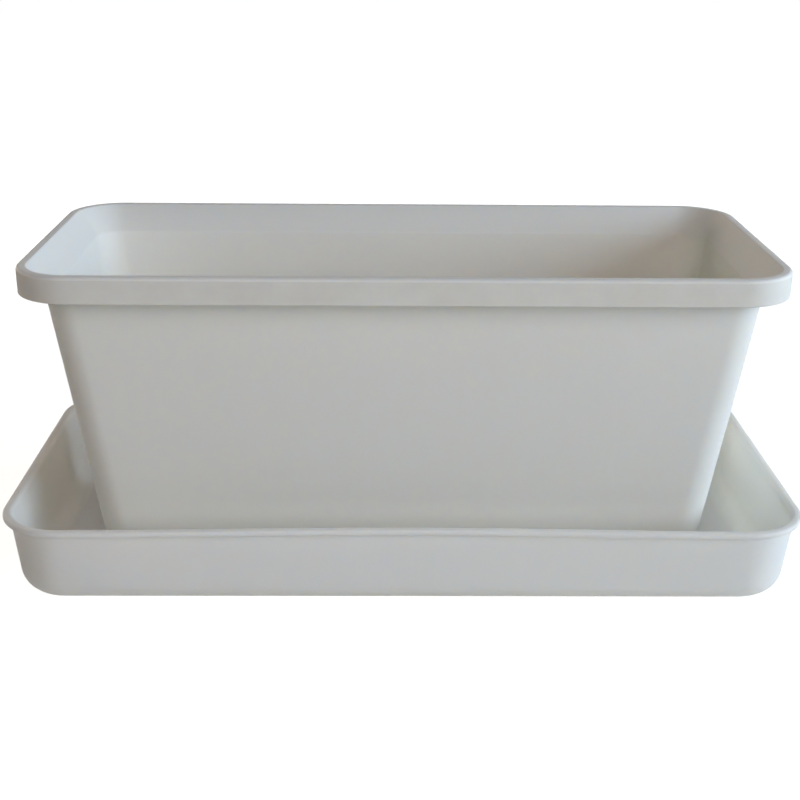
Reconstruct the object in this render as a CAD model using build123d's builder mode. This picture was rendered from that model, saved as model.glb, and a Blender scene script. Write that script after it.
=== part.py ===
"""Indoor herb planter: a tapered, moulded trough with a turned-down rim that stands loose in its drip tray.

Millimetres. The origin is the centre of the tray's underside, +X runs along the length, +Y to the back, +Z up.
"""
import os
from math import cos, radians, sin, tan

from build123d import *

# Trough, outside
rim_length = 400.0
rim_width = 178.0
rim_corner_radius = 27.0
trough_height = 176.0
wall_draft = 7.0
base_corner_radius = 12.0
base_edge_radius = 6.0

# Trough, thicknesses
trough_wall = 2.2
trough_floor = 2.4

# Rim: the wall flares out, folds over a bullnose and hangs down as a skirt
rim_wall = 1.8
rim_bullnose_radius = 2.6
rim_flare_angle = 38.0
rim_flare_depth = 15.0
rim_crease_radius = 2.0
rim_skirt_height = 14.0
rim_skirt_edge_radius = 0.6

# Feet under the trough, with the drain holes in the same two rows between them
foot_diameter = 18.0
foot_height = 3.0
foot_edge_radius = 1.0
foot_inset = 16.0
foot_columns = 3
foot_rows = 2
drain_hole_diameter = 9.0
drain_hole_columns = 4

# Drip tray
tray_margin = 16.0
tray_height = 46.0
tray_corner_radius = 34.0
tray_draft = 6.0
tray_wall = 2.0
tray_floor = 2.2
tray_edge_radius = 14.0
tray_side_bow = 4.0
lip_overhang = 3.4
lip_height = 3.4
lip_edge_radius = 1.5
lip_inner_radius = 0.6

# Levels: the feet stand on the tray's floor
trough_base_z = tray_floor + foot_height
rim_top_z = tray_floor + trough_height
flare_foot_z = rim_top_z - rim_flare_depth

# The flare leaves the bullnose at its angle, so the insets at its foot follow from the fold
flare_turn = 180.0 - rim_flare_angle
flare_start_inset = rim_bullnose_radius * (1 + cos(radians(rim_flare_angle)))
flare_start_drop = rim_bullnose_radius * (1 - sin(radians(rim_flare_angle)))
cavity_top_inset = flare_start_inset + (rim_flare_depth - flare_start_drop) * tan(radians(rim_flare_angle))
wall_top_inset = cavity_top_inset - trough_wall

# Base of the trough, drawn in by the walls' draft
wall_run_in = (flare_foot_z - trough_base_z) * tan(radians(wall_draft))
floor_run_out = trough_floor * tan(radians(wall_draft))
base_length = rim_length - 2 * (wall_top_inset + wall_run_in)
base_width = rim_width - 2 * (wall_top_inset + wall_run_in)
cavity_floor_length = base_length + 2 * (floor_run_out - trough_wall)
cavity_floor_width = base_width + 2 * (floor_run_out - trough_wall)

# Rows of feet and drain holes
foot_span = base_length - 2 * (base_edge_radius + foot_inset)
foot_pitch_x = foot_span / (foot_columns - 1)
foot_pitch_y = base_width - 2 * (base_edge_radius + foot_inset)
drain_hole_pitch = foot_span / drain_hole_columns

# Tray: its lip stands outside the trough's rim by the margin, and insets are measured in from the lip
lip_length = rim_length + 2 * tray_margin
lip_width = rim_width + 2 * tray_margin
lip_z = tray_height - lip_height
tray_base_inset = lip_overhang + tray_height * tan(radians(tray_draft))
tray_space_floor_inset = tray_base_inset - tray_floor * tan(radians(tray_draft)) + tray_wall


def tray_outline(inset, bow, height):
    """The tray's outline at a height, inside the lip's by inset, its long sides drawn in by bow at mid-length."""
    half_length = lip_length / 2 - inset
    half_width = lip_width / 2 - inset
    radius = tray_corner_radius - inset
    run = half_length - radius
    # a curve of five poles reaches 6/16 of its middle pole's step, and its level ends keep the corners smooth
    crest = half_width - bow * 16 / 6
    with BuildSketch(Plane.XY.offset(height)) as outline:
        with BuildLine():
            front = Bezier(
                (-run, -half_width), (-run / 2, -half_width), (0, -crest), (run / 2, -half_width), (run, -half_width)
            )
            corner = JernArc(start=front @ 1, tangent=(1, 0), radius=radius, arc_size=90)
            Line(corner @ 1, (half_length, 0))
            mirror(about=Plane.XZ)
            left_corner = JernArc(start=front @ 0, tangent=(-1, 0), radius=radius, arc_size=-90)
            left_side = Line(left_corner @ 1, (-half_length, 0))
            mirror([left_corner, left_side], about=Plane.XZ)
        make_face()
    return outline.sketch


# Trough
with BuildPart() as planter_box:
    # walls and floor
    with BuildSketch(Plane.XY.offset(trough_base_z)):
        RectangleRounded(base_length, base_width, base_corner_radius)
    with BuildSketch(Plane.XY.offset(flare_foot_z)):
        RectangleRounded(
            rim_length - 2 * wall_top_inset, rim_width - 2 * wall_top_inset, rim_corner_radius - wall_top_inset
        )
    loft()
    fillet(planter_box.edges().group_by(Axis.Z)[0], base_edge_radius)
    with BuildSketch(Plane.XY.offset(trough_base_z + trough_floor)):
        RectangleRounded(cavity_floor_length, cavity_floor_width, base_corner_radius - trough_wall)
    with BuildSketch(Plane.XY.offset(flare_foot_z)):
        RectangleRounded(
            rim_length - 2 * cavity_top_inset, rim_width - 2 * cavity_top_inset, rim_corner_radius - cavity_top_inset
        )
    loft(mode=Mode.SUBTRACT)
    level_faces = planter_box.faces().filter_by(Plane.XY).sort_by(Axis.Z)
    fillet(level_faces[1].outer_wire().edges(), base_edge_radius - trough_wall)
    mouth = planter_box.faces().sort_by(Axis.Z)[-1].inner_wires()[0]

    # rim: one hooked profile carried round the top
    with BuildLine(Plane.XY.offset(flare_foot_z)) as rim_path:
        half_side = Line((rim_length / 2, 0), (rim_length / 2, rim_width / 2 - rim_corner_radius))
        corner = JernArc(start=half_side @ 1, tangent=(0, 1), radius=rim_corner_radius, arc_size=90)
        Line(corner @ 1, (0, rim_width / 2))
        mirror(about=Plane.YZ)
        mirror(about=Plane.XZ)
    with BuildSketch(Plane.XZ) as rim_profile:
        rim_x = rim_length / 2
        skirt_foot_z = rim_top_z - rim_skirt_height
        fold_z = rim_top_z - rim_bullnose_radius
        with BuildLine():
            skirt = Line((rim_x, skirt_foot_z), (rim_x, fold_z))
            bullnose = JernArc(start=skirt @ 1, tangent=(0, 1), radius=rim_bullnose_radius, arc_size=flare_turn)
            flare = Line(bullnose @ 1, (rim_x - cavity_top_inset, flare_foot_z))
            flare_foot = Line(flare @ 1, (rim_x - wall_top_inset, flare_foot_z))
            inner_skirt = Line((rim_x - rim_wall, skirt_foot_z), (rim_x - rim_wall, fold_z))
            hollow = JernArc(
                start=inner_skirt @ 1, tangent=(0, 1), radius=rim_bullnose_radius - rim_wall, arc_size=flare_turn
            )
            Line(hollow @ 1, flare_foot @ 1)
            Line(skirt @ 0, inner_skirt @ 0)
        make_face()
        fillet(rim_profile.vertices().sort_by_distance((rim_x, skirt_foot_z))[:2], rim_skirt_edge_radius)
    sweep(path=rim_path.wires()[0])
    crease = planter_box.edges().filter_by(lambda edge: mouth.distance_to(edge @ 0.5) < 0.01)
    fillet(crease, rim_crease_radius)

    # feet and drain holes
    with BuildSketch(Plane.XY.offset(trough_base_z)):
        with GridLocations(foot_pitch_x, foot_pitch_y, foot_columns, foot_rows):
            Circle(foot_diameter / 2)
    extrude(amount=-foot_height)
    fillet(planter_box.edges().group_by(Axis.Z)[0], foot_edge_radius)
    with BuildSketch(Plane.XY.offset(trough_base_z)):
        with GridLocations(drain_hole_pitch, foot_pitch_y, drain_hole_columns, foot_rows):
            Circle(drain_hole_diameter / 2)
    extrude(amount=trough_floor, mode=Mode.SUBTRACT)
planter_box.part.label = "planter_box"

# Space inside the drip tray, rounded at its floor
with BuildPart() as tray_space:
    loft(
        [
            tray_outline(tray_space_floor_inset, 0, tray_floor),
            tray_outline(lip_overhang + tray_wall, tray_side_bow, tray_height),
        ]
    )
    fillet(tray_space.edges().group_by(Axis.Z)[0], tray_edge_radius - tray_wall)

# Drip tray
with BuildPart() as drip_tray:
    # lip, as a rounded plate that the space inside opens later
    extrude(tray_outline(0, tray_side_bow, lip_z), amount=lip_height)
    fillet(drip_tray.edges().group_by(Axis.Z)[0] + drip_tray.edges().group_by(Axis.Z)[-1], lip_edge_radius)
    # walls, straight at the base and bowed in along the lip, with a large radius into the base
    loft([tray_outline(tray_base_inset, 0, 0), tray_outline(lip_overhang, tray_side_bow, tray_height)])
    fillet(drip_tray.edges().group_by(Axis.Z)[0], tray_edge_radius)
    add(tray_space.part, mode=Mode.SUBTRACT)
    fillet(drip_tray.faces().sort_by(Axis.Z)[-1].inner_wires()[0].edges(), lip_inner_radius)
drip_tray.part.label = "drip_tray"

os.makedirs("parts", exist_ok=True)
for piece in (planter_box, drip_tray):
    export_step(piece.part, f"parts/{piece.part.label}.step")
    size = piece.part.bounding_box().size
    print(f"{piece.part.label}: {size.X:.1f} x {size.Y:.1f} x {size.Z:.1f} mm, {piece.part.volume / 1000:.1f} cm3")
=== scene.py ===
# %% [markdown]
# An indoor herb planter is two thin plastic mouldings: a tapered trough with a turned-down rim, and the
# drip tray that it stands in. Nothing on it is decorated, so the looks come from three things: clean,
# softly rounded shells, a satin plastic that is never quite even, and soft light from one side. This
# script loads the engineered model as a fixed frame, rebuilds both shells as smooth meshes in the same
# place, and dresses them.

# %% Load the frame
from collections import namedtuple
from math import acos, ceil, cos, hypot, pi, radians, sin, tan

import bpy
from mathutils import Matrix, Vector


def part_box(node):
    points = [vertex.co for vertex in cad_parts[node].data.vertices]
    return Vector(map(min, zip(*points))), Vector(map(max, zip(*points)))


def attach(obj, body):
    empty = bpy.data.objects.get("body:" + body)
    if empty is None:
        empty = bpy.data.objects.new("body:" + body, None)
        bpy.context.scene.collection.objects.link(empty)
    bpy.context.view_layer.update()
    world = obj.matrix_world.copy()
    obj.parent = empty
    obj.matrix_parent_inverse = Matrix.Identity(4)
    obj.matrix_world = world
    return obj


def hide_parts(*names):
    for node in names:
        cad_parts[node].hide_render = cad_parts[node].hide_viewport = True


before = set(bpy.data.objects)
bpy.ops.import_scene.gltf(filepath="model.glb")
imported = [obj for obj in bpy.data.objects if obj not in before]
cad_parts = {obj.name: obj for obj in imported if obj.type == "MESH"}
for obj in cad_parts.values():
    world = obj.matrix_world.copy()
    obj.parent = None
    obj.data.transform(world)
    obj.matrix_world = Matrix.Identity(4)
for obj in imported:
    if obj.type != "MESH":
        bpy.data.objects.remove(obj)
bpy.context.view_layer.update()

mm = 0.001

# %% [markdown]
# Every size that the frame can tell is read from it, so that the shells fit the engineered parts
# without any fitting by eye. The trough's box gives the rim's outline and height, and its lowest point
# is the underside of the feet. The tray's box gives the lip's outline and height. A shell is described
# by insets from these outlines.

# %% Outlines from the frame
trough_low, trough_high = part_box("planter_box")
tray_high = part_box("drip_tray")[1]
rim_half_length, rim_half_width = trough_high.x, trough_high.y
lip_half_length, lip_half_width = tray_high.x, tray_high.y
rim_top, feet_bottom = trough_high.z, trough_low.z
lip_top = tray_high.z
for edge, half_length, half_width, top in (
    ("rim", rim_half_length, rim_half_width, rim_top), ("lip", lip_half_length, lip_half_width, lip_top),
):
    print(f"{edge} {2 * half_length / mm:.1f} x {2 * half_width / mm:.1f} mm, top at {top / mm:.1f} mm")

# %% [markdown]
# Geometry Nodes and shaders are both node trees, and long chains of Math nodes are hard to read. So one
# small class wraps a socket and overloads the arithmetic operators: an expression such as (1 - mask) *
# depth adds its own Math nodes. Every other node comes from one method, which sets the node's options
# before its sockets, because the options decide which sockets there are.

# %% A socket that does arithmetic
class Wire:
    """A node's output, or the tree itself where it has no socket yet."""

    def __init__(self, tree, socket=None):
        self.tree = tree
        self.socket = socket

    def node(self, kind, settings=None, sockets=None, output=0):
        """Adds a node, sets its options, then its sockets by name or number, and returns one output."""
        made = self.tree.nodes.new(kind)
        for name, value in (settings or {}).items():
            setattr(made, name, value)
        for key, value in (sockets or {}).items():
            target = pick(made.inputs, key)
            wires = value if isinstance(value, list) else [value]
            if isinstance(wires[0], Wire):
                for wire in wires:
                    self.tree.links.new(wire.socket, target)
            else:
                target.default_value = value
        return Wire(self.tree, pick(made.outputs, output) if made.outputs else None)

    def math(self, operation, *values):
        return self.node("ShaderNodeMath", {"operation": operation}, dict(enumerate(values)))

    def other(self, output):
        """Another output of the same node."""
        return Wire(self.tree, pick(self.socket.node.outputs, output))

    def __add__(self, value):
        return self.math("ADD", self, value)

    def __radd__(self, value):
        return self.math("ADD", value, self)

    def __sub__(self, value):
        return self.math("SUBTRACT", self, value)

    def __rsub__(self, value):
        return self.math("SUBTRACT", value, self)

    def __mul__(self, value):
        return self.math("MULTIPLY", self, value)

    def __rmul__(self, value):
        return self.math("MULTIPLY", value, self)

    def __truediv__(self, value):
        return self.math("DIVIDE", self, value)

    def __floordiv__(self, value):
        return self.math("FLOOR", self / value)


def pick(sockets, key):
    """A socket by number, or the first one in use that has the name."""
    if isinstance(key, int):
        return sockets[key]
    return next(socket for socket in sockets if socket.name == key and socket.enabled)


# %% [markdown]
# Both mouldings follow one rule. Take a profile, the section through a wall, as a row of stations. Each
# station knows how far it lies inside the outline, its height, the radius that the plan's corners have
# there, and how far the long sides are drawn in at their middle. Carry each station round a rounded
# rectangle, and join the rings with faces. A plain sweep could not do this, because the corners' radius
# changes with the wall's draft. Geometry Nodes can: the profile is the modifier's input, a grid
# supplies one row of points for each station, and Set Position sends every point to its place by the
# formula.

# %% A tree with named inputs
def new_tree(name, inputs):
    """A node tree with named inputs, and the identifiers that a modifier needs to set them."""
    tree = bpy.data.node_groups.new(name, "GeometryNodeTree")
    tree.is_modifier = True
    tree.interface.new_socket("Geometry", in_out="OUTPUT", socket_type="NodeSocketGeometry")
    tree.interface.new_socket("Geometry", in_out="INPUT", socket_type="NodeSocketGeometry")
    identifiers = {}
    for input_name, socket_type in inputs.items():
        socket = tree.interface.new_socket(
            input_name, in_out="INPUT", socket_type="NodeSocket" + socket_type
        )
        identifiers[input_name] = socket.identifier
    return tree, identifiers


def sample(tree, profile, station, data_type, field):
    """A value that the profile holds at a station."""
    return tree.node(
        "GeometryNodeSampleIndex", {"data_type": data_type, "domain": "POINT"},
        {"Geometry": profile, "Value": field, "Index": station},
    )


# %% The rule for a moulded shell
weld_distance = 0.001 * mm


def moulded_shell_tree():
    inputs = {"Half Length": "Float", "Half Width": "Float", "Corner Steps": "Int", "Side Steps": "Int",
              "Material": "Material"}
    group, identifiers = new_tree("Moulded shell", inputs)
    tree = Wire(group)
    profile = tree.node("NodeGroupInput", output="Geometry")
    corner_steps, side_steps = profile.other("Corner Steps"), profile.other("Side Steps")

    # one row of points for each station, with one point over so that the seam can be welded
    stations = tree.node("GeometryNodeAttributeDomainSize", {"component": "MESH"}, {"Geometry": profile})
    block = corner_steps + side_steps
    row = 4 * block + 1
    sheet = tree.node("GeometryNodeMeshGrid", sockets={"Vertices X": stations, "Vertices Y": row})
    index = tree.node("GeometryNodeInputIndex")
    station = index // row
    along = index - station * row

    # a quarter of the way round is one corner and the side after it
    quarter = along // block
    step = along - quarter * block
    in_corner = tree.math("MINIMUM", step / corner_steps, 1)
    in_side = tree.math("MAXIMUM", (step - corner_steps) / side_steps, 0)
    heading = (quarter + in_corner) * (pi / 2)
    facing_x, facing_y = tree.math("COSINE", heading), tree.math("SINE", heading)
    here, ahead = (quarter + 0.5) * (pi / 2), (quarter + 1.5) * (pi / 2)
    centre_x = tree.math("SIGN", tree.math("COSINE", here)) * (1 - in_side)
    centre_x = centre_x + tree.math("SIGN", tree.math("COSINE", ahead)) * in_side
    centre_y = tree.math("SIGN", tree.math("SINE", here)) * (1 - in_side)
    centre_y = centre_y + tree.math("SIGN", tree.math("SINE", ahead)) * in_side

    # the profile's values at this point's station
    place = sample(tree, profile, station, "FLOAT_VECTOR", tree.node("GeometryNodeInputPosition"))
    inset = tree.node("ShaderNodeSeparateXYZ", sockets={"Vector": place})
    held = {}
    # rub, and dust with painted shade, are carried from the profile onto every point of the shell
    for name in ("corner_radius", "side_bow", "rub", "dust"):
        field = tree.node("GeometryNodeInputNamedAttribute", {"data_type": "FLOAT"}, {"Name": name})
        held[name] = sample(tree, profile, station, "FLOAT", field)
    radius, bow = held["corner_radius"], held["side_bow"]

    # the long sides are drawn in most at mid-length and run smoothly into the corners
    from_corner = 1 - centre_x * centre_x
    drawn_in = bow * from_corner * from_corner
    x = centre_x * (profile.other("Half Length") - inset - radius) + radius * facing_x
    y = centre_y * (profile.other("Half Width") - inset - radius - drawn_in) + radius * facing_y
    point = tree.node("ShaderNodeCombineXYZ", sockets={"X": x, "Y": y, "Z": inset.other("Z")})
    shell = tree.node("GeometryNodeSetPosition", sockets={"Geometry": sheet, "Position": point})
    for name in ("rub", "dust"):
        shell = tree.node(
            "GeometryNodeStoreNamedAttribute", {"data_type": "FLOAT", "domain": "POINT"},
            {"Geometry": shell, "Name": name, "Value": held[name]},
        )
    shell = tree.node("GeometryNodeMergeByDistance", sockets={"Geometry": shell, "Distance": weld_distance})
    shell = tree.node("GeometryNodeFlipFaces", sockets={"Mesh": shell})
    shell = tree.node("GeometryNodeRealizeInstances", sockets={"Geometry": shell})
    material = profile.other("Material")
    shell = tree.node("GeometryNodeSetMaterial", sockets={"Geometry": shell, "Material": material})
    tree.node("NodeGroupOutput", sockets={"Geometry": shell})
    return group, identifiers


shell_tree, shell_inputs = moulded_shell_tree()
print(f"moulded shell rule: {len(shell_tree.nodes)} nodes")

# %% [markdown]
# A profile is written the way a toolmaker draws it: sharp corners, each with a fillet. The code walks
# from corner to corner and replaces each one by an arc of short steps. The plan's corner radius and the
# bow are carried along as if they were further coordinates, so they stay consistent round the fillets.
# Two more values ride along for the finish: where hands rub the plastic smooth, and where dust and painted
# shade grey the hollows.

# %% From sharp corners to stations
# The last field greys a corner with dust and painted shade.
Corner = namedtuple("Corner", "inset height radius bow fillet rub dust", defaults=(0, 0, 0, 0))
arc_step = radians(9)
fewest_steps = 3
run_fractions = (0.05, 0.2, 0.5, 0.8, 0.95)
shortest_run = 3 * mm


def ahead_of(start, end):
    """The step from one corner to the next for each metre along the profile."""
    length = hypot(end.inset - start.inset, end.height - start.height)
    return Vector([(there - here) / length for here, there in zip(start[:4], end[:4])])


def fillet_stations(before, corner, after):
    """Stations along the arc that rounds a corner, or the corner itself where it stays sharp."""
    here = Vector(corner[:4])
    if corner.fillet == 0:
        return [here]
    back, onward = ahead_of(corner, before), ahead_of(corner, after)
    angle = acos(back[0] * onward[0] + back[1] * onward[1])
    half_turn = (pi - angle) / 2
    steps = max(fewest_steps, ceil(2 * half_turn / arc_step))
    centre = here + (back + onward) * (corner.fillet / sin(angle))
    inward = (back + onward) / (2 * cos(angle / 2))
    across = (onward - back) / (2 * sin(angle / 2))
    stations = []
    for step in range(steps + 1):
        turn = half_turn * (2 * step / steps - 1)
        stations.append(centre + corner.fillet * (across * sin(turn) - inward * cos(turn)))
    return stations


def profile_stations(corners):
    """Rows of inset, height, corner radius, bow, rub, and dust with painted shade, along a whole profile.
    """
    rows = []
    last = len(corners) - 1
    for place, corner in enumerate(corners):
        stations = [Vector(corner[:4])]
        if 0 < place < last:
            stations = fillet_stations(corners[place - 1], corner, corners[place + 1])
        if rows and hypot(stations[0][0] - rows[-1][0], stations[0][1] - rows[-1][1]) > shortest_run:
            start, end = Vector(rows[-1][:4]), stations[0]
            for share in run_fractions:
                rows.append((*start.lerp(end, share), 0, 0))
        for station in stations:
            rows.append((*station, corner.rub, corner.dust))
    return rows


print("a fillet of a right angle takes", ceil(radians(90) / arc_step), "steps")


# %% Carrying a profile round its outline
def shell(name, corners, half_length, half_width, corner_steps, side_steps, finish):
    """An object whose mesh is the profile and whose modifier carries it round the outline."""
    rows = profile_stations(corners)
    profile = bpy.data.meshes.new(name)
    edges = [(station, station + 1) for station in range(len(rows) - 1)]
    profile.from_pydata([(row[0], 0, row[1]) for row in rows], edges, [])
    for column, attribute in enumerate(("corner_radius", "side_bow", "rub", "dust"), start=2):
        values = profile.attributes.new(attribute, "FLOAT", "POINT")
        values.data.foreach_set("value", [row[column] for row in rows])
    piece = bpy.data.objects.new(name, profile)
    bpy.context.scene.collection.objects.link(piece)
    modifier = piece.modifiers.new("Moulded shell", "NODES")
    modifier.node_group = shell_tree
    sizes = {"Half Length": half_length, "Half Width": half_width, "Corner Steps": corner_steps,
             "Side Steps": side_steps, "Material": finish}
    for input_name, value in sizes.items():
        modifier[shell_inputs[input_name]] = value
    return piece


smooth_limit = radians(32)


def make_plain(piece):
    """Turns what the modifiers make into the object's own mesh, smooth but for its sharp edges.

    A grid brings an empty material slot, ahead of the finish's own, and that one is dropped.
    """
    evaluated = piece.evaluated_get(bpy.context.evaluated_depsgraph_get())
    plain = bpy.data.meshes.new_from_object(evaluated)
    piece.modifiers.clear()
    piece.data = plain
    plain.name = piece.name
    if plain.materials[0] is None:
        plain.materials.pop(index=0)
    plain.shade_smooth()
    plain.set_sharp_from_angle(angle=smooth_limit)
    reach = [round(max(vertex.co[axis] for vertex in plain.vertices) / mm, 2) for axis in range(3)]
    print(f"{piece.name}: {len(plain.polygons)} faces, reaches {reach} mm")
    return piece


# %% [markdown]
# The trough's profile starts on the underside, on the middle line where the floor closes, and runs out
# to the base, up the drafted wall, into the hollow under the rim, round the skirt, over the rim's band,
# down the flare and the inside of the wall, and back to the middle of the floor. The plan's corner
# radius at the rim follows the outline, as an offset does, and below the flare it stays the same down
# to the base.

# %% The trough's section
wall_draft = radians(7)
wall_corner_radius, base_edge_radius = 17 * mm, 6 * mm
trough_wall, trough_floor = 2.2 * mm, 2.4 * mm
rim_corner_radius, rim_wall = 30 * mm, 1.8 * mm
rim_band, rim_outer_radius, rim_inner_radius, hollow_radius = 5 * mm, 1.8 * mm, 1 * mm, 0.5 * mm
cavity_inset, flare_depth, crease_radius = 15.6 * mm, 15 * mm, 2 * mm
skirt_height, skirt_edge_radius = 14 * mm, 0.6 * mm
foot_height = 3 * mm
# how strongly dust and painted shade grey the crease under the flare
crease_dust_and_shade = 0.3

base_z = feet_bottom + foot_height
floor_z = base_z + trough_floor
flare_foot_z = rim_top - flare_depth
skirt_foot_z = rim_top - skirt_height
hollow_top = rim_top - rim_wall
wall_inset = cavity_inset - trough_wall
hollow_inset = rim_band + (cavity_inset - rim_band) * rim_wall / flare_depth - trough_wall
base_inset = wall_inset + (flare_foot_z - base_z) * tan(wall_draft)
floor_inset = base_inset + trough_wall - trough_floor * tan(wall_draft)
inner_corner_radius = wall_corner_radius - trough_wall

# The last value of a corner is dust with painted shade: the hollow under the rim and the floor's inner
# corner are greyed fully.
trough_corners = [
    Corner(rim_half_width, base_z, 0),
    Corner(base_inset + wall_corner_radius, base_z, 0),
    Corner(base_inset, base_z, wall_corner_radius, 0, base_edge_radius, 1, 0),
    Corner(wall_inset, flare_foot_z, wall_corner_radius, 0, 0, 0, 1),
    Corner(hollow_inset, hollow_top, rim_corner_radius - hollow_inset, 0, hollow_radius, 0, 1),
    Corner(rim_wall, hollow_top, rim_corner_radius - rim_wall, 0, hollow_radius, 0, 1),
    Corner(rim_wall, skirt_foot_z, rim_corner_radius - rim_wall, 0, skirt_edge_radius, 1, 0),
    Corner(0, skirt_foot_z, rim_corner_radius, 0, skirt_edge_radius, 1, 0),
    Corner(0, rim_top, rim_corner_radius, 0, rim_outer_radius, 1, 0),
    Corner(rim_band, rim_top, rim_corner_radius - rim_band, 0, rim_inner_radius, 1, 0),
    Corner(cavity_inset, flare_foot_z, inner_corner_radius, 0, crease_radius, 0, crease_dust_and_shade),
    Corner(floor_inset, floor_z, inner_corner_radius, 0, base_edge_radius - trough_wall, 0, 1),
    Corner(floor_inset + inner_corner_radius, floor_z, 0),
    Corner(rim_half_width, floor_z, 0),
]
print(f"insets: cavity {cavity_inset / mm:.2f}, wall {wall_inset / mm:.2f}, base {base_inset / mm:.2f} mm")

# %% [markdown]
# The tray is the same kind of shell: a floor that turns up through a large radius into a low wall,
# which ends in a beaded lip. Its long sides are straight at the base and drawn in a little along the
# lip, as a thin open tray of soft plastic comes out of the mould. The bow therefore grows with height.

# %% The tray's section
tray_draft = radians(6)
tray_wall, tray_floor = 2 * mm, 2.2 * mm
tray_corner_radius, tray_edge_radius = 34 * mm, 14 * mm
lip_overhang, lip_height, lip_edge_radius, lip_inner_radius = 3.4 * mm, 3.4 * mm, 1.5 * mm, 2.4 * mm
tray_side_bow = 4 * mm
# how strongly dust and painted shade grey the tray's inner fillet
tray_inner_dust_and_shade = 0.15
tray_run = tan(tray_draft)


def tray_corner(inset, height, bow, *finish):
    """A corner of the tray's profile, where the plan's corner radius is the lip's less the inset."""
    return Corner(inset, height, max(tray_corner_radius - inset, 0), bow, *finish)


tray_base_inset = lip_overhang + lip_top * tray_run
tray_floor_inset = tray_base_inset - tray_floor * tray_run + tray_wall
lip_z = lip_top - lip_height
under_lip_inset = lip_overhang + lip_height * tray_run
under_lip_bow = tray_side_bow * lip_z / lip_top

# The last value of a corner is dust with painted shade: the corner under the lip is greyed fully, the inner
# fillet a little.
tray_corners = [
    tray_corner(lip_half_width, 0, 0),
    tray_corner(tray_corner_radius, 0, 0),
    tray_corner(tray_base_inset, 0, 0, tray_edge_radius, 1, 0),
    tray_corner(under_lip_inset, lip_z, under_lip_bow, 0, 0, 1),
    tray_corner(0, lip_z, tray_side_bow, lip_edge_radius, 1, 0),
    tray_corner(0, lip_top, tray_side_bow, lip_edge_radius, 1, 0),
    tray_corner(lip_overhang + tray_wall, lip_top, tray_side_bow, lip_inner_radius, 1, 0),
    tray_corner(tray_floor_inset, tray_floor, 0, tray_edge_radius - tray_wall, 0, tray_inner_dust_and_shade),
    tray_corner(tray_corner_radius, tray_floor, 0),
    tray_corner(lip_half_width, tray_floor, 0),
]
print(f"tray insets: base {tray_base_inset / mm:.2f}, floor {tray_floor_inset / mm:.2f} mm")

# %% [markdown]
# Six low feet hold the trough off the tray's floor, and eight drain holes sit between them in two rows.
# They repeat on a grid, so they are instances on grid points. A foot is itself a small shell whose
# outline is all corner, which makes it round. The feet are joined to the floor and the holes are cut by
# Mesh Boolean nodes, so that the trough stays one closed skin.

# %% Feet and drain holes
drill_sides, drill_floors = 40, 3


def on_grid(tree, shape, size_x, size_y, columns, rows, height):
    """Copies of a shape on a grid, at a height, as real geometry."""
    grid = tree.node(
        "GeometryNodeMeshGrid",
        sockets={"Size X": size_x, "Size Y": size_y, "Vertices X": columns, "Vertices Y": rows},
    )
    lift = tree.node("ShaderNodeCombineXYZ", sockets={"Z": height})
    grid = tree.node("GeometryNodeTransform", sockets={"Geometry": grid, "Translation": lift})
    copies = tree.node("GeometryNodeInstanceOnPoints", sockets={"Points": grid, "Instance": shape})
    return tree.node("GeometryNodeRealizeInstances", sockets={"Geometry": copies})


def trough_floor_tree():
    inputs = {"Foot": "Object", "Foot Columns": "Int", "Hole Columns": "Int", "Rows": "Int",
              "Foot Span": "Float", "Hole Span": "Float", "Row Pitch": "Float", "Hole Radius": "Float",
              "Floor": "Float", "Base Height": "Float", "Material": "Material"}
    group, identifiers = new_tree("Feet and drain holes", inputs)
    tree = Wire(group)
    trough = tree.node("NodeGroupInput", output="Geometry")
    size = trough.other
    foot = tree.node("GeometryNodeObjectInfo", sockets={"Object": size("Foot")}, output="Geometry")
    feet = on_grid(tree, foot, size("Foot Span"), size("Row Pitch"), size("Foot Columns"), size("Rows"), 0)
    drill = tree.node(
        "GeometryNodeMeshCylinder",
        sockets={
            "Vertices": drill_sides, "Radius": size("Hole Radius"), "Depth": drill_floors * size("Floor"),
        },
        output="Mesh",
    )
    middle = size("Base Height") + size("Floor") / 2
    drills = on_grid(
        tree, drill, size("Hole Span"), size("Row Pitch"), size("Hole Columns"), size("Rows"), middle
    )
    boolean = "GeometryNodeMeshBoolean"
    footed = tree.node(boolean, {"operation": "UNION", "solver": "EXACT"}, {"Mesh": [trough, feet]})
    drained = tree.node(
        boolean, {"operation": "DIFFERENCE", "solver": "EXACT"}, {"Mesh 1": footed, "Mesh 2": drills}
    )
    drained = tree.node("GeometryNodeRealizeInstances", sockets={"Geometry": drained})
    drained = tree.node(
        "GeometryNodeSetMaterial", sockets={"Geometry": drained, "Material": size("Material")}
    )
    tree.node("NodeGroupOutput", sockets={"Geometry": drained})
    return group, identifiers


floor_tree, floor_inputs = trough_floor_tree()
print(f"feet and drain holes: {len(floor_tree.nodes)} nodes")

# %% [markdown]
# The plastic is off-white polypropylene with a satin finish. Seen close to, it isn't one flat colour:
# the pigment clouds a little, the mould leaves a fine grain and a faint orange peel, the walls carry
# faint upright drag marks where the moulding slid off its core, and hands polish the rim and the lip.
# A brownish grey is painted into the inner creases and the hollows under the rim and the lip: partly
# dust, partly painted shade. All of it is weak, because a new planter is clean, and all of it reads
# Object coordinates or the shell's own rub and dust-and-shade values, so it stays on the piece when
# the piece moves. Thin white walls also let light through: subsurface scattering reaches as deep as the
# trough's wall is thick, and twice that in the thinner tray, so a lit wall glows faintly on its shaded
# side.

# %% Noise and colour mixing
cloud_scale, patch_scale, peel_scale, grain_scale = 9, 45, 220, 1800
soft_detail, fine_detail = 3, 1
drag_stretch = (160, 160, 5)
noise_mean = 0.5


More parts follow.
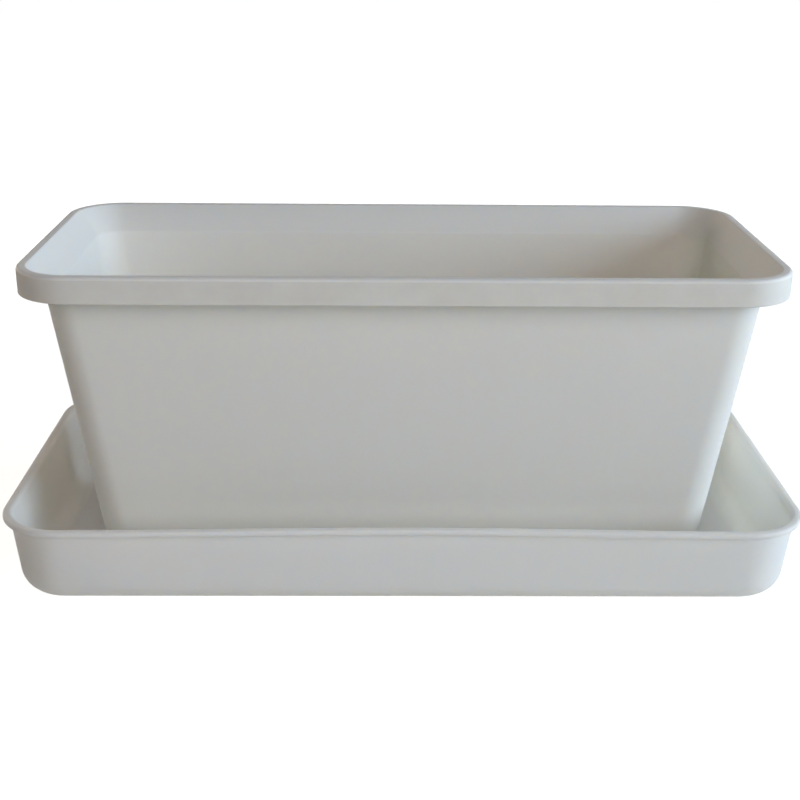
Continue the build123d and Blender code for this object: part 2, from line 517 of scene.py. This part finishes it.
def noise(tree, place, scale, detail, stretch=(1, 1, 1)):
    """Soft noise between 0 and 1, in features of about one metre over the scale."""
    moved = tree.node("ShaderNodeMapping", sockets={"Vector": place, "Scale": stretch})
    return tree.node("ShaderNodeTexNoise", sockets={"Vector": moved, "Scale": scale, "Detail": detail})


def mix_colours(tree, share, first, second):
    return tree.node(
        "ShaderNodeMix", {"data_type": "RGBA"}, {"Factor": share, "A": first, "B": second}, "Result"
    )


feature_scales = {"clouds": cloud_scale, "patches": patch_scale, "peel": peel_scale, "grain": grain_scale}
for feature, scale in feature_scales.items():
    print(f"{feature}: features of about {1 / scale / mm:.1f} mm")

# %% Satin plastic
# The dust share and dust colour set how far, and towards which brownish grey, dust and painted shade darken
# the hollows.
drag_tint, dust_and_shade_share = 0.5, 0.3
dust_and_shade_colour = (0.42, 0.38, 0.32, 1)
base_roughness, cloud_roughness, drag_roughness = 0.55, 0.12, 0.1
dust_roughness, rub_polish = 0.2, 0.06
peel_height, grain_height, drag_height = 0.6, 0.4, 0.5
bump_strength, bump_distance = 0.12, 0.15 * mm
plastic_ior, specular_level = 1.45, 0.4
scatter_radius = (1, 0.9, 0.75)


def satin_plastic(name, bright, dull, reach):
    """Moulded plastic that clouds between two tones, with a grain, drag marks, rubbed edges, and dust with
    painted shade.
    """
    material = bpy.data.materials.new(name)
    material.use_nodes = True
    material.node_tree.nodes.clear()
    tree = Wire(material.node_tree)
    place = tree.node("ShaderNodeTexCoord", output="Object")
    rub = tree.node("ShaderNodeAttribute", {"attribute_name": "rub"}, output="Fac")
    dust = tree.node("ShaderNodeAttribute", {"attribute_name": "dust"}, output="Fac")
    cloud = noise(tree, place, cloud_scale, soft_detail)
    drag = noise(tree, place, 1, soft_detail, drag_stretch)
    patches = noise(tree, place, patch_scale, soft_detail)
    peel = noise(tree, place, peel_scale, fine_detail)
    grain = noise(tree, place, grain_scale, fine_detail)

    # Dust and painted shade: the inner creases and the hollows under the rim and the lip are greyed towards
    # a brownish colour.
    settled_dust_and_shade = dust * patches
    colour = mix_colours(tree, cloud + (drag - noise_mean) * drag_tint, bright, dull)
    colour = mix_colours(tree, settled_dust_and_shade * dust_and_shade_share, colour, dust_and_shade_colour)
    roughness = base_roughness + (cloud - noise_mean) * cloud_roughness
    roughness = roughness + (drag - noise_mean) * drag_roughness
    roughness = roughness + settled_dust_and_shade * dust_roughness - rub * rub_polish
    height = peel * peel_height + grain * grain_height + drag * drag_height
    bump = tree.node("ShaderNodeBump", sockets={
        "Strength": bump_strength, "Distance": bump_distance, "Height": height,
    })
    plastic = tree.node("ShaderNodeBsdfPrincipled", sockets={
        "Base Color": colour, "Roughness": roughness, "Normal": bump, "IOR": plastic_ior,
        "Specular IOR Level": specular_level, "Subsurface Weight": 1, "Subsurface Scale": reach,
        "Subsurface Radius": scatter_radius,
    })
    tree.node("ShaderNodeOutputMaterial", sockets={"Surface": plastic})
    print(f"{name}: {len(material.node_tree.nodes)} nodes, light reaches {reach / mm:.1f} mm into it")
    return material


# %% The two plastics
trough_bright, trough_dull = (0.91, 0.905, 0.855, 1), (0.89, 0.883, 0.828, 1)
tray_bright, tray_dull = (0.92, 0.915, 0.865, 1), (0.90, 0.894, 0.838, 1)
trough_finish = satin_plastic("satin_trough", trough_bright, trough_dull, trough_wall)
tray_finish = satin_plastic("satin_tray", tray_bright, tray_dull, 2 * tray_wall)

# %% [markdown]
# Now the pieces themselves. Each modifier is given its sizes and its plastic, and what it makes becomes a
# plain mesh. Forty to fifty points for each quarter of the way round keep the corners smooth, and the
# side points are needed where the tray's long sides are drawn in. Last, each piece is hung on the empty
# of the body that it rides on, and the engineered part that it replaces is hidden.

# %% Build the trough and the tray
foot_radius, foot_edge_radius, foot_inset, foot_sink = 9 * mm, 1 * mm, 16 * mm, 1 * mm
foot_columns, hole_columns, floor_rows = 3, 4, 2
foot_corner_steps, foot_side_steps = 9, 1
corner_steps, trough_side_steps, tray_side_steps = 20, 24, 32
drain_hole_radius = 4.5 * mm
foot_span = 2 * (rim_half_length - base_inset - base_edge_radius - foot_inset)
row_pitch = 2 * (rim_half_width - base_inset - base_edge_radius - foot_inset)
hole_span = foot_span * (hole_columns - 1) / hole_columns

foot_corners = [
    Corner(foot_radius, feet_bottom, 0),
    Corner(0, feet_bottom, foot_radius, 0, foot_edge_radius, 1, 0),
    Corner(0, base_z + foot_sink, foot_radius),
    Corner(foot_radius, base_z + foot_sink, 0),
]
foot = shell(
    "foot", foot_corners, foot_radius, foot_radius, foot_corner_steps, foot_side_steps, trough_finish
)
trough = shell(
    "trough_shell", trough_corners, rim_half_length, rim_half_width, corner_steps, trough_side_steps,
    trough_finish,
)
modifier = trough.modifiers.new("Feet and drain holes", "NODES")
modifier.node_group = floor_tree
floor_sizes = {"Foot": foot, "Foot Columns": foot_columns, "Hole Columns": hole_columns, "Rows": floor_rows,
               "Foot Span": foot_span, "Hole Span": hole_span, "Row Pitch": row_pitch,
               "Hole Radius": drain_hole_radius, "Floor": trough_floor, "Base Height": base_z,
               "Material": trough_finish}
for input_name, value in floor_sizes.items():
    modifier[floor_inputs[input_name]] = value
make_plain(trough)
bpy.data.objects.remove(foot)
tray = make_plain(shell(
    "tray_shell", tray_corners, lip_half_length, lip_half_width, corner_steps, tray_side_steps, tray_finish
))

# %% What the pieces are to the frame
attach(trough, "trough")
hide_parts("planter_box")
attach(tray, "tray")
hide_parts("drip_tray")
for piece in (trough, tray):
    print(piece.name, "is made of", [material.name for material in piece.data.materials])

# %% [markdown]
# The photograph has a white surround, so the floor and the world are white to the camera while the
# light that reaches the object stays at a plain level. The floor is a pale, matt surface that takes the
# object's shadow and throws a little warm light back. White is added to it for camera and mirror rays
# only, which lifts it to white without lighting the object. The lift is weaker close to the object, so
# that the shadow under it can be seen.

# %% The floor
def seen_directly(tree):
    """One for rays that show the surround itself, and nought for rays that carry its light."""
    path = tree.node("ShaderNodeLightPath", output="Is Camera Ray")
    seen = tree.math("MAXIMUM", path, path.other("Is Glossy Ray"))
    return tree.math("MAXIMUM", seen, path.other("Is Transmission Ray"))


floor_half_size = 4.0
floor_gap = 0.05 * mm
floor_colour = (0.88, 0.865, 0.81, 1)
near_reach, far_reach = 0.35, 1.3
near_lift, far_lift = 0.82, 1.0
square = ((-1, -1), (1, -1), (1, 1), (-1, 1))
corners = [(x * floor_half_size, y * floor_half_size, -floor_gap) for x, y in square]
floor_mesh = bpy.data.meshes.new("floor")
floor_mesh.from_pydata(corners, [], [(0, 1, 2, 3)])
floor = bpy.data.objects.new("floor", floor_mesh)
bpy.context.scene.collection.objects.link(floor)

floor_paint = bpy.data.materials.new("pale_floor")
floor_paint.use_nodes = True
floor_paint.node_tree.nodes.clear()
tree = Wire(floor_paint.node_tree)
place = tree.node("ShaderNodeTexCoord", output="Object")
reach = tree.node("ShaderNodeVectorMath", {"operation": "LENGTH"}, {0: place}, "Value")
far = tree.node("ShaderNodeMapRange", {"interpolation_type": "SMOOTHSTEP"}, {
    "Value": reach, "From Min": near_reach, "From Max": far_reach, "To Min": near_lift, "To Max": far_lift,
})
matt = tree.node("ShaderNodeBsdfDiffuse", sockets={"Color": floor_colour})
lift = tree.node("ShaderNodeEmission", sockets={"Color": seen_directly(tree) * far, "Strength": 1})
surface = tree.node("ShaderNodeAddShader", sockets={0: matt, 1: lift})
tree.node("ShaderNodeOutputMaterial", sockets={"Surface": surface})
floor_mesh.materials.append(floor_paint)
print("floor", 2 * floor_half_size, "m wide")

# %% The surround
world = bpy.data.worlds.new("white_surround")
world.use_nodes = True
world.node_tree.nodes.clear()
bpy.context.scene.world = world
tree = Wire(world.node_tree)
white = tree.node(
    "ShaderNodeBackground", sockets={"Color": (1, 1, 1, 1), "Strength": seen_directly(tree)}
)
tree.node("ShaderNodeOutputWorld", sockets={"Surface": white})
print("surround:", len(world.node_tree.nodes), "nodes")

# %% [markdown]
# One large, cool lamp stands low to the right and a little in front, as a window would. It gives the
# bright right-hand corners, the grey front and the slanting shade inside the trough. A weak, warm fill
# from the front carries the front wall, and two weak lamps behind stand for the rest of the room: they
# shape the left-hand corners and the far side of the rim. All of them are wide for their distance, so
# no shadow has a hard edge.

# %% Lamps
middle = Vector((0, 0, rim_top / 2))
lamp_distance = 2.5


def soft_lamp(name, azimuth, elevation, width, height, watts, colour):
    """A flat lamp that faces the object. Azimuth 0 is in front of it, and 90 is to its right."""
    lamp = bpy.data.lights.new(name, "AREA")
    lamp.shape = "RECTANGLE"
    lamp.size, lamp.size_y, lamp.energy, lamp.color = width, height, watts, colour
    lamp_object = bpy.data.objects.new(name, lamp)
    bpy.context.scene.collection.objects.link(lamp_object)
    turn, rise = radians(azimuth), radians(elevation)
    outward = Vector((sin(turn) * cos(rise), -cos(turn) * cos(rise), sin(rise)))
    lamp_object.location = middle + outward * lamp_distance
    lamp_object.rotation_mode = "QUATERNION"
    lamp_object.rotation_quaternion = outward.to_track_quat("Z", "Y")
    print(f"{name}: {watts} W, {width} x {height} m, at {azimuth} degrees round and {elevation} up")


soft_lamp("window", 75, 16, 3.3, 1.0, 61, (0.71, 0.845, 1.0))
soft_lamp("front_fill", 0, 32, 2.0, 1.6, 15.4, (1.0, 0.88, 0.86))
soft_lamp("rear_left", -130, 12, 1.3, 0.8, 13.5, (1.0, 0.85, 0.71))
soft_lamp("rear_right", 140, 12, 1.3, 0.8, 4.5, (1.0, 1.0, 1.0))

# %% [markdown]
# The camera repeats the photograph's view: a normal lens from slightly above, almost square to the long
# side. Its angles and distance come from a fit of the part's outline to the photograph, so the picture
# frames the object as the photograph does.

# %% Camera
image_size = 800
focal_pixels = 1310
sensor_width = 36
nearest = 10 * mm
camera_azimuth, camera_elevation, camera_roll = -0.91, 20.55, 0.52
camera_distance = 766 * mm
camera_target = Vector((-1.4 * mm, 0, 81 * mm))

camera = bpy.data.cameras.new("camera")
camera.sensor_width = sensor_width
camera.lens = focal_pixels / image_size * sensor_width
camera.clip_start = nearest
camera_object = bpy.data.objects.new("camera", camera)
bpy.context.scene.collection.objects.link(camera_object)
turn, rise = radians(camera_azimuth), radians(camera_elevation)
back = Vector((sin(turn) * cos(rise), -cos(turn) * cos(rise), sin(rise)))
aim = back.to_track_quat("Z", "Y").to_matrix() @ Matrix.Rotation(radians(camera_roll), 3, "Z")
camera_object.location = camera_target + back * camera_distance
camera_object.rotation_euler = aim.to_euler()
bpy.context.scene.camera = camera_object
bpy.context.scene.view_settings.view_transform = "Standard"
print(f"lens {camera.lens:.1f} mm at {[round(part / mm) for part in camera_object.location]} mm")
